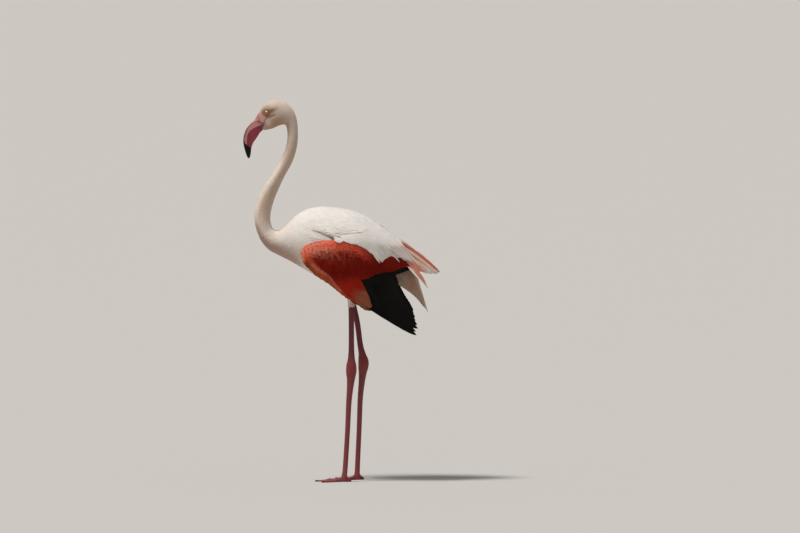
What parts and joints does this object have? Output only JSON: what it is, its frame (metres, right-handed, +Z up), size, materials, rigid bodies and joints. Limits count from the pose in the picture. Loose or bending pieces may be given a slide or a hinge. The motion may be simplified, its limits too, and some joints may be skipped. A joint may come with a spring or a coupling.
{
  "type": "greater flamingo, life-size standing museum model",
  "caption": "Life-size standing greater flamingo with an S-curved neck, lowered red and black wings, sloping back and long pink legs on webbed feet.",
  "frame": {"origin": "on the floor, under the middle of the bird's bounding box", "axes": "+Z up, the bird faces -X, its left side is -Y"},
  "size_m": [0.5748, 0.2142, 1.1256],
  "materials": {
    "plumage_white": "soft matt feathers, white with a faint pink cast",
    "neck_down": "short velvety feathers, pale pinkish white",
    "plumage_red": "matt overlapping feathers, scarlet to crimson",
    "flight_black": "satin flight feathers, black",
    "plumage_rose": "matt feathers, rose with pale edges",
    "bill_pink": "satin horn, pink with a black tip",
    "bill_keel": "satin horn, deep pink with a black tip",
    "eye": "glossy eye, pale yellow iris and black pupil",
    "leg_skin": "satin scaled skin, pinkish red"
  },
  "bodies": {
    "root": {"head": "plumage_white", "eye_left": "eye", "eye_right": "eye", "bill_upper": "bill_pink", "bill_lower": "bill_keel", "neck_upper": "neck_down", "neck_middle": "neck_down", "neck_lower": "neck_down", "trunk": "plumage_white", "wing_coverts_left": "plumage_red", "wing_flight_left": "flight_black", "tertial_left": "plumage_rose", "wing_coverts_right": "plumage_red", "wing_flight_right": "flight_black", "tertial_right": "plumage_rose", "mantle": "plumage_white", "tail": "plumage_rose", "thigh_left": "plumage_white", "shank_left": "leg_skin", "tarsus_left": "leg_skin", "foot_left": "leg_skin", "thigh_right": "plumage_white", "shank_right": "leg_skin", "tarsus_right": "leg_skin", "foot_right": "leg_skin"}
  },
  "joints": []
}
